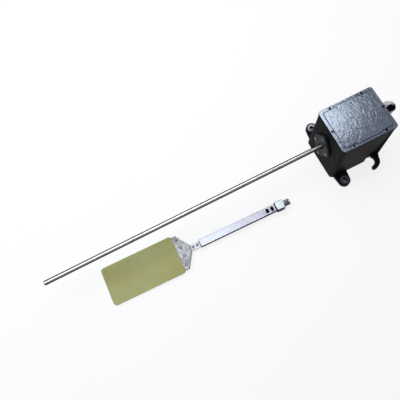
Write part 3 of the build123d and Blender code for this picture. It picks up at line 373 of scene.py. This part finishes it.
dull_steel = turned_metal("dull_screw_steel", shade(146, 148, 152), shade(84, 84, 88), 0.34)
dress("flange_screws", dull_steel)
screw_steel = turned_metal("screw_steel", shade(206, 208, 212), shade(138, 138, 142), 0.26)
for node in ("cap_screws", "mounting_plate_screws", "bracket_screws",
             "switch_screws", "switch_washers", "terminal_screws", "pillar_nuts", "motor_pillars",
             "actuator_pin", "spring_pin", "spring_anchor", "stop_post", "return_spring", "swivel_circlip",
             "shaft_circlips", "front_bearing", "rear_bearing", "bearing_spacer", "bearing_cap", "coupling",
             "motor_output_shaft", "motor_switch_lever", "alarm_switch_lever"):
    dress(node, screw_steel)


# Lid
# A flat iron cover in thick glossy black enamel that dried in ripples, its rim rubbed bright on the
# corners. Six socket screws sit in recesses of the rim, and a groove runs round the raised field.
lid_enamel = Finish("rippled_lid_enamel")
lid_place = lid_enamel.place()
lid_swirl = lid_enamel.noise(lid_enamel.place(turn=(0.0, 0.0, 0.5), stretch=(1.0, 0.6, 1.0)),
                             95.0, detail=3.0, rough=0.55, distort=0.7)
lid_ripple = lid_enamel.noise(lid_enamel.place(turn=(0.0, 0.0, -0.3), stretch=(1.0, 0.5, 1.0)),
                              260.0, detail=3.0, rough=0.6, distort=0.6)
lid_cloud = lid_enamel.noise(lid_place, 30.0, 4.0)
lid_chips = lid_enamel.noise(lid_place, 160.0, 4.0, 0.6)
worn_from_x = 0.0726
worn_from_y = 0.0566
worn_from_z = 0.1655
groove_top = 0.1663
lid_out_x = (abs(lid_enamel.axis(lid_place, "X")) - worn_from_x) * 600.0
lid_out_y = (abs(lid_enamel.axis(lid_place, "Y")) - worn_from_y) * 600.0
lid_height = lid_enamel.axis(lid_place, "Z")
rim_outside = lid_enamel.node("ShaderNodeMath", {"operation": "MAXIMUM"}, {0: lid_out_x, 1: lid_out_y})
rim_corner = rim_outside.clamped() * ((lid_height - worn_from_z) * 900.0).clamped()
lid_wear = (rim_corner * (6.0 * lid_chips - 3.4)).clamped()
lid_black = lid_enamel.ramp(lid_cloud, (0.3, shade(21, 21, 34)), (0.7, shade(42, 42, 61)))
lid_enamel.feed(Base_Color=lid_enamel.blend(lid_wear, lid_black, shade(168, 172, 186)),
                Metallic=0.6 * lid_wear,
                Roughness=0.1 + 0.08 * lid_cloud + 0.2 * lid_wear,
                IOR=2.25, Specular_IOR_Level=0.9, Specular_Tint=(0.76, 0.87, 1.0, 1.0),
                Normal=lid_enamel.bump(lid_swirl + 0.55 * lid_ripple, 0.00065, 0.66))
# In the groove and down the lid's sides the enamel is dark and matt.
lid_dull = lid_enamel.node("ShaderNodeBsdfDiffuse", {}, {"Color": shade(22, 23, 27), "Roughness": 1.0})
lid_enamel.mixed(((groove_top - lid_height) * 2500.0).clamped(), lid_dull)
broken_edges("lid", "housing", lid_enamel, 0.0006)

black_screw = turned_metal("black_oxide_screw", shade(74, 76, 82), shade(22, 23, 26), 0.34)
dress("lid_screws", black_screw)

rubber = Finish("black_rubber")
rubber_speck = rubber.noise(rubber.place(), 700.0, 3.0)
rubber.feed(Base_Color=rubber.ramp(rubber_speck, (0.3, shade(20, 20, 21)), (0.7, shade(38, 38, 40))),
            Roughness=0.7 + 0.15 * rubber_speck, Normal=rubber.bump(rubber_speck, 0.0002, 0.5))
for node in ("lid_gasket", "flange_gasket", "shaft_seal", "gland_washer", "gland_seal"):
    dress(node, rubber)


# Paddle shaft
# Twelve millimetre stainless bar, centreless ground, with handling stains and fine rings from the
# grinding wheel. Towards both edges its colour is painted dark, a painted reflection of the dim part of the
# room.
shaft_steel = Finish("ground_shaft_steel")
shaft_place = shaft_steel.place()
shaft_rings = shaft_steel.noise(shaft_steel.place(stretch=(1.0, 0.05, 0.05)), 1400.0, 2.0)
shaft_streak = shaft_steel.noise(shaft_steel.place(stretch=(0.12, 1.0, 1.0)), 160.0, 4.0)
shaft_stain = shaft_steel.noise(shaft_place, 26.0, 5.0, 0.6)
# Painted shade: the colour darkens as the surface turns away from the view.
shaft_painted_edge_shade = shaft_steel.node("ShaderNodeLayerWeight", {}, {"Blend": 0.5}, out=1)
shaft_bright = shaft_steel.ramp(shaft_stain, (0.34, shade(206, 204, 200)), (0.6, shade(226, 227, 230)))
shaft_tone_and_painted_edges = shaft_steel.blend((4.0 * shaft_painted_edge_shade - 0.14).clamped(), shaft_bright, shade(52, 50, 50))
shaft_steel.feed(Base_Color=shaft_tone_and_painted_edges, Metallic=1.0, Specular_Tint=(0.2, 0.19, 0.19, 1.0),
                 Roughness=0.27 + 0.14 * shaft_streak + 0.06 * shaft_stain,
                 Normal=shaft_steel.bump(shaft_rings + 0.6 * shaft_streak, 0.00004, 0.6))
dress("paddle_shaft", shaft_steel)


# Paddle sheet
# Cast polyurethane, six millimetres thick, olive yellow, sawn to size with its edges just rubbed down.
olive = Finish("olive_polyurethane")
olive_place = olive.place()
olive_cloud = olive.noise(olive_place, 14.0, 5.0, 0.6)
olive_mottle = olive.noise(olive_place, 120.0, 4.0)
olive_scuff = olive.noise(olive.place(turn=(0.0, 0.0, 0.4), stretch=(1.0, 0.12, 1.0)), 240.0, 3.0)
olive_ground = olive.ramp(olive_cloud, (0.3, shade(160, 158, 92)), (0.7, shade(174, 172, 116)))
olive_tone = olive.blend(0.35 * olive_mottle, olive_ground, shade(150, 150, 104))
olive.feed(Base_Color=olive_tone, Roughness=0.5 + 0.2 * olive_scuff, Specular_IOR_Level=0.35,
           Normal=olive.bump(olive_mottle + 0.5 * olive_scuff, 0.00025, 0.5))
broken_edges("paddle_sheet", "paddle", olive, 0.0009)


# Clamp plates and arm
# Stainless sheet and box section, laser cut and left with its mill mottle, the flanks darkened as painted
# shade.
# Towards the paddle, the arm and the neck are painted brighter as a painted highlight.
def mill_steel(name, dull, middle, bright, flank_shade_and_burr, rough, patches, painted_highlight=None, painted_black_from=None, end=None):
    """Rolled stainless, mottled from dull over middle to bright, with flanks in painted shade.

    Along X, the mottle gives way to a painted highlight over the stretch painted_highlight, the steel is
    painted black inside past painted_black_from as painted shade, and a sawn end keeps its dark burr past
    end.
    """
    steel = Finish(name)
    where = steel.place()
    patch = steel.noise(where, patches, 5.0, 0.65, 0.6)
    fleck = steel.noise(where, 620.0, 3.0)
    brush = steel.noise(steel.place(stretch=(0.06, 1.0, 1.0)), 900.0, 2.0)
    # Painted shade: faces that do not look up take the flank colour.
    up = (2.5 * steel.axis(steel.facing(), "Z") - 1.35).clamped()
    tone = steel.blend(0.5 * (2.4 * fleck - 0.7).clamped(),
                       steel.ramp(patch, (0.36, dull), (0.48, middle), (0.62, bright)), middle)
    along = steel.axis(where, "X")
    # Painted highlight: along X the mottle turns to the bright colour.
    if painted_highlight:
        mottled, highlit = painted_highlight
        tone = steel.blend(((along - mottled) * (1.0 / (highlit - mottled))).clamped(), tone, bright)
    tone = steel.blend(up, flank_shade_and_burr, tone)
    if end:
        tone = steel.blend(((along - end) * 1500.0).clamped(), tone, flank_shade_and_burr)
    # Painted shade: past this point the steel is painted nearly black.
    if painted_black_from:
        tone = steel.blend(((along - painted_black_from) * 3000.0).clamped(), tone, shade(6, 6, 6))
    steel.feed(Base_Color=tone, Metallic=1.0, Roughness=rough + 0.2 * patch,
               Specular_Tint=(0.4, 0.39, 0.38, 1.0), Normal=steel.bump(brush + 0.6 * patch, 0.00008, 0.6))
    return steel


arm_steel = mill_steel("mottled_arm_steel", dull=shade(128, 124, 140), middle=shade(168, 168, 181),
                       bright=shade(189, 192, 200), flank_shade_and_burr=shade(28, 26, 26), rough=0.38, patches=80.0,
                       painted_highlight=(0.27, 0.4), end=0.4572)
broken_edges("arm_tube", "paddle", arm_steel, 0.0004)
dress("arm_tube_pins", arm_steel)

plate_steel = mill_steel("brushed_clamp_plate", dull=shade(112, 112, 114), middle=shade(150, 150, 152),
                         bright=shade(196, 197, 198), flank_shade_and_burr=shade(44, 42, 40), rough=0.44, patches=95.0,
                         painted_highlight=(0.492, 0.478))
for node in ("clamp_plate_upper", "clamp_plate_lower"):
    broken_edges(node, "paddle", plate_steel, 0.0004)

rivet_steel = mill_steel("rivet_steel", dull=shade(120, 120, 122), middle=shade(140, 140, 142),
                         bright=shade(160, 160, 162), flank_shade_and_burr=shade(70, 70, 70), rough=0.5, patches=300.0)
dress("clamp_rivets", rivet_steel)

# The turned socket reaches into the arm, where it is painted black as painted shade, so the two slots show
# only darkness.
socket_steel = mill_steel("turned_socket_steel", dull=shade(150, 150, 152), middle=shade(190, 190, 192),
                          bright=shade(214, 215, 216), flank_shade_and_burr=shade(96, 95, 94), rough=0.3, patches=140.0,
                          painted_black_from=0.2415)
dress("shaft_socket", socket_steel)

nut_plate = mill_steel("bright_nut_plating", dull=shade(176, 186, 188), middle=shade(198, 208, 209),
                       bright=shade(216, 224, 224), flank_shade_and_burr=shade(84, 84, 84), rough=0.4, patches=150.0)
broken_edges("lock_nut", "paddle", nut_plate, 0.0004)


# Thread on the split socket
# A coarse thread is cut on the barrel that holds the shaft, so that the lock nut can draw its two halves
# together. It stops at the slit, and lies on the paddle's own axis, a little turned and tilted as the
# loose paddle lies.
thread_pitch = 0.0015
thread_turns = 10
thread_root = 0.00795
thread_depth = 0.00045
thread_sunk = 0.0006
thread_start = -0.0398
steps_per_turn = 28
slit_half = 0.0011
paddle_lie = (Matrix.Translation((0.244, 0.0675, 0.01196)) @ Matrix.Rotation(math.radians(-1.4), 4, "Z")
              @ Matrix.Rotation(math.radians(1.04), 4, "Y"))

thread_mesh = bpy.data.meshes.new("socket_thread")
thread_shape = bmesh.new()
profile = ((-0.4 * thread_pitch, thread_root), (0.0, thread_root + thread_depth),
           (0.4 * thread_pitch, thread_root), (0.0, thread_root - thread_sunk))
corners = [thread_shape.verts.new((thread_start + along, 0.0, height)) for along, height in profile]
ridge = [thread_shape.edges.new((corners[i], corners[(i + 1) % 4])) for i in range(4)]
bmesh.ops.spin(thread_shape, geom=corners + ridge, cent=(0.0, 0.0, 0.0), axis=(1.0, 0.0, 0.0),
               dvec=(thread_pitch / steps_per_turn, 0.0, 0.0), angle=math.tau * thread_turns,
               steps=steps_per_turn * thread_turns, use_merge=False)
for side in (-slit_half, slit_half):
    whole_thread = thread_shape.verts[:] + thread_shape.edges[:] + thread_shape.faces[:]
    bmesh.ops.bisect_plane(thread_shape, geom=whole_thread, plane_co=(0.0, side, 0.0),
                           plane_no=(0.0, 1.0, 0.0), dist=1e-7)
over_slit = [face for face in thread_shape.faces if abs(face.calc_center_median().y) < slit_half]
bmesh.ops.delete(thread_shape, geom=over_slit, context="FACES")
bmesh.ops.remove_doubles(thread_shape, verts=thread_shape.verts, dist=1e-7)
open_edges = [edge for edge in thread_shape.edges if edge.is_boundary]
bmesh.ops.holes_fill(thread_shape, edges=open_edges, sides=0)
bmesh.ops.recalc_face_normals(thread_shape, faces=thread_shape.faces)
bmesh.ops.transform(thread_shape, matrix=paddle_lie, verts=thread_shape.verts)
thread_shape.to_mesh(thread_mesh)
thread_shape.free()
socket_thread = new_piece("socket_thread", thread_mesh)
thread_mesh.materials.append(socket_steel.material)
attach(socket_thread, "paddle")


# Cable gland
# Nickel-plated brass, hexagons turned off at the corners. The underside and the flank on the +Y side are
# painted near black, a painted reflection of the dim part of the room.
nickel = Finish("nickel_plating")
nickel_place = nickel.place()
nickel_cloud = nickel.noise(nickel_place, 60.0, 4.0)
nickel_marks = nickel.noise(nickel_place, 900.0, 2.0)
nickel_facing = nickel.facing()
# Painted reflection: faces turned down or towards +Y are painted near black.
nickel_painted_light_mask = (1.4 * nickel.axis(nickel_facing, "Z") - 3.0 * nickel.axis(nickel_facing, "Y") - 0.2).clamped()
nickel_tone = nickel.ramp(nickel_cloud, (0.32, shade(206, 202, 196)), (0.68, shade(240, 238, 236)))
nickel.feed(Base_Color=nickel.blend(nickel_painted_light_mask, shade(30, 29, 28), nickel_tone), Metallic=1.0,
            Roughness=0.12 + 0.12 * nickel_cloud, Normal=nickel.bump(nickel_marks, 0.00006, 0.5))
for node in ("gland_body", "gland_nut"):
    broken_edges(node, "housing", nickel, 0.0005)


# Works inside the housing
# Zinc-plated sheet, bronze bush, moulded switches and terminals.
# None of them shows with the lid on, but each keeps its own material.
zinc = turned_metal("zinc_plating", shade(208, 206, 190), shade(160, 158, 146), 0.34, 700.0, 70.0)
for node in ("swivel_plate", "gearbox", "mounting_plate", "switch_bracket", "terminal_stand"):
    dress(node, zinc)
bronze = turned_metal("turned_bronze", shade(198, 160, 98), shade(150, 112, 62), 0.3)
for node in ("swivel_bush", "earth_stud"):
    dress(node, bronze)


def moulding(name, light, dark):
    plastic = Finish(name)
    grain = plastic.noise(plastic.place(), 1100.0, 3.0)
    plastic.feed(Base_Color=plastic.ramp(grain, (0.3, dark), (0.7, light)), Roughness=0.42 + 0.2 * grain,
                 Normal=plastic.bump(grain, 0.00008, 0.5))
    return plastic


grey_plastic = moulding("grey_moulding", shade(150, 152, 156), shade(128, 130, 134))
for node in ("motor", "terminal_block"):
    dress(node, grey_plastic)
black_plastic = moulding("black_moulding", shade(44, 44, 47), shade(28, 28, 30))
for node in ("motor_switch", "alarm_switch", "coupling_screws"):
    dress(node, black_plastic)
